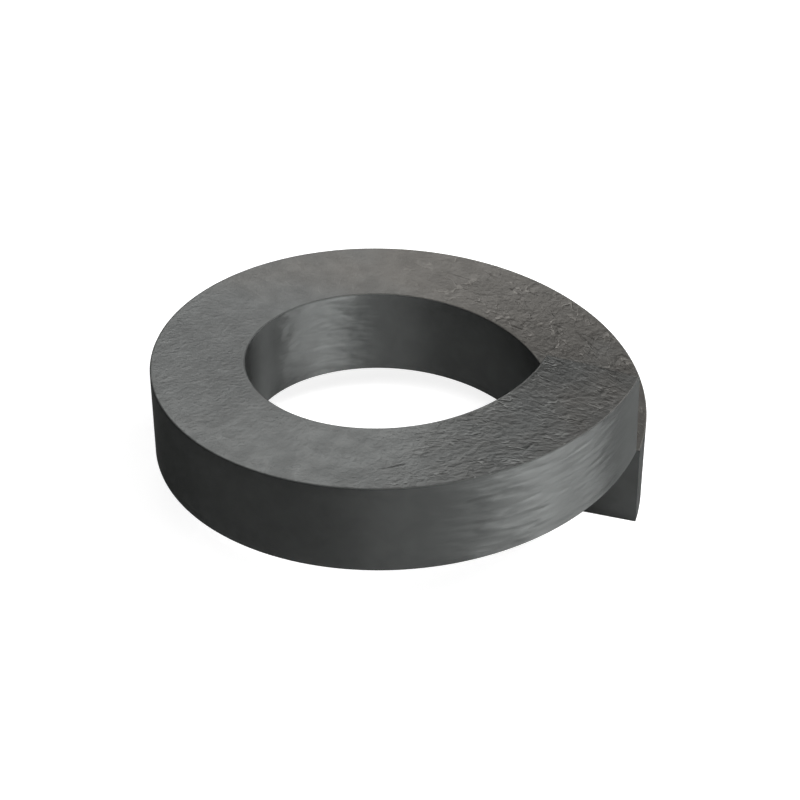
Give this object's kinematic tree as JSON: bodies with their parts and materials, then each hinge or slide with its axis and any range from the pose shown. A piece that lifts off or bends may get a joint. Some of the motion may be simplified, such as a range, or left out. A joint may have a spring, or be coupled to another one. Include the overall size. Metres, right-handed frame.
{
  "type": "spring lock washer",
  "caption": "Helical spring lock washer of square wire with square-cut ends that stand apart at a narrow slit; it keeps tension under a screw head.",
  "frame": {"origin": "on the bore axis, level with the lowest edge of the lower end", "axes": "+Z along the bore axis towards the screw head, +X through the middle of the slit; the coil rises from +X towards +Y"},
  "size_m": [0.0084, 0.0084, 0.0034],
  "materials": {
    "spring_steel": "dark spring steel, fine lengthwise draw marks on the round walls, flat faces with shallow creases"
  },
  "bodies": {
    "root": {"washer": "spring_steel"}
  },
  "joints": []
}
